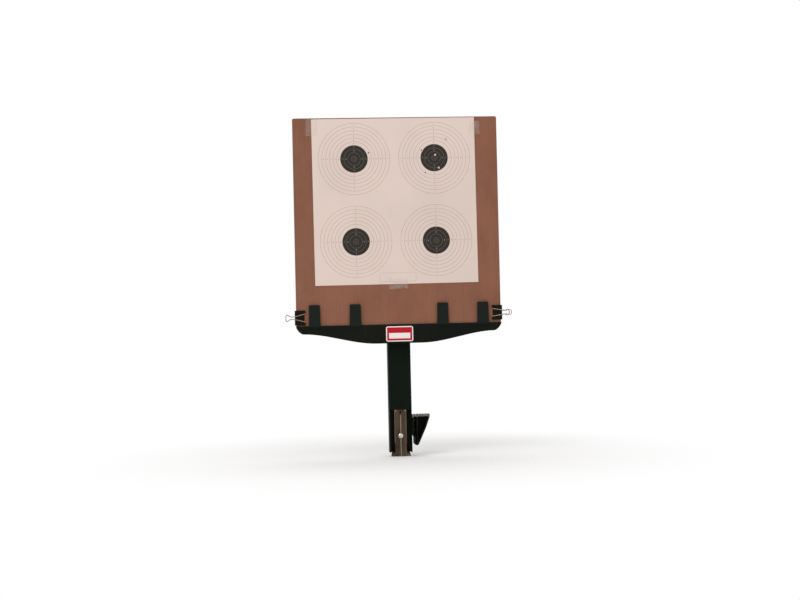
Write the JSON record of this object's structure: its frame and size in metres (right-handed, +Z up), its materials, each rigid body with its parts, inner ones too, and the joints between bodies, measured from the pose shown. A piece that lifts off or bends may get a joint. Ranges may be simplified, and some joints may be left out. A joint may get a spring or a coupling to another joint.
{
  "type": "target stand",
  "caption": "Target stand with a ground stake, a hollow post with a foot pedal, and a folding crosspiece that holds a cardboard backer with a taped paper score sheet, gripped by binder clips.",
  "frame": {"origin": "on the stake's centre line, at the ground line", "axes": "+X to the right along the crosspiece as the viewer faces the score sheet, +Y to the back, +Z up"},
  "size_m": [0.4934, 0.0629, 0.8898],
  "materials": {
    "green_plastic": "very dark green moulded plastic, fine texture",
    "stake_steel": "satin, a little weathered",
    "zinc": "zinc plated",
    "cardboard": "brown corrugated board with upright flutes",
    "paper": "uncoated off-white paper with printed rings",
    "clear_tape": "clear packing tape, slightly hazy",
    "label_film": "printed film, satin",
    "black_steel": "black enamel",
    "wire_steel": "bright plated wire"
  },
  "bodies": {
    "stake": {"stake": "stake_steel", "stake_bolt": "zinc", "stake_washer": "zinc"},
    "stake_nut": {"stake_wing_nut": "zinc"},
    "post": {"post": "green_plastic", "pedal": "green_plastic", "pedal_screw_upper": "zinc", "pedal_screw_lower": "zinc", "pivot_washer_front": "zinc", "pivot_washer_rear": "zinc"},
    "crosspiece": {"crosspiece": "green_plastic", "pivot_bolt": "zinc", "label_plate": "label_film"},
    "pivot_nut": {"pivot_wing_nut": "zinc"},
    "board": {"backer_board": "cardboard", "score_sheet": "paper", "tape_left": "clear_tape", "tape_right": "clear_tape", "tape_bottom": "clear_tape"},
    "clip_left": {"clip_left_body": "black_steel"},
    "clip_left_front": {"clip_left_front_handle": "wire_steel"},
    "clip_left_rear": {"clip_left_rear_handle": "wire_steel"},
    "clip_right": {"clip_right_body": "black_steel"},
    "clip_right_front": {"clip_right_front_handle": "wire_steel"},
    "clip_right_rear": {"clip_right_rear_handle": "wire_steel"}
  },
  "joints": [
    {"name": "post_height", "type": "slide", "parent": "stake", "child": "post", "axis": [0, 0, 1], "range_m": [-0.044, 0]},
    {"name": "stake_nut_turn", "type": "hinge", "parent": "stake", "child": "stake_nut", "pos_m": [0, 0.006, 0.0446], "axis": [0, 1, 0], "continuous": true},
    {"name": "crosspiece_fold", "type": "hinge", "parent": "post", "child": "crosspiece", "pos_m": [0, -0.0166, 0.261], "axis": [0, -1, 0], "range_deg": [0, 90]},
    {"name": "pivot_nut_turn", "type": "hinge", "parent": "crosspiece", "child": "pivot_nut", "pos_m": [0, 0.006, 0.261], "axis": [0, 1, 0], "continuous": true},
    {"name": "board_lift", "type": "slide", "parent": "crosspiece", "child": "board", "axis": [0, 0, 1], "range_m": [0, 0.06]},
    {"name": "clip_left_pull", "type": "slide", "parent": "crosspiece", "child": "clip_left", "axis": [-1, 0, 0], "range_m": [0, 0.025]},
    {"name": "clip_left_front_swing", "type": "hinge", "parent": "clip_left", "child": "clip_left_front", "pos_m": [-0.205, -0.03555, 0.3068], "axis": [0, 0, 1], "range_deg": [0, 130]},
    {"name": "clip_left_rear_swing", "type": "hinge", "parent": "clip_left", "child": "clip_left_rear", "pos_m": [-0.205, -0.02445, 0.3068], "axis": [0, 0, -1], "range_deg": [0, 130]},
    {"name": "clip_right_pull", "type": "slide", "parent": "crosspiece", "child": "clip_right", "axis": [1, 0, 0], "range_m": [0, 0.025]},
    {"name": "clip_right_front_swing", "type": "hinge", "parent": "clip_right", "child": "clip_right_front", "pos_m": [0.205, -0.03555, 0.31], "axis": [0, 0, -1], "range_deg": [0, 130]},
    {"name": "clip_right_rear_swing", "type": "hinge", "parent": "clip_right", "child": "clip_right_rear", "pos_m": [0.205, -0.02445, 0.31], "axis": [0, 0, 1], "range_deg": [0, 130]}
  ]
}
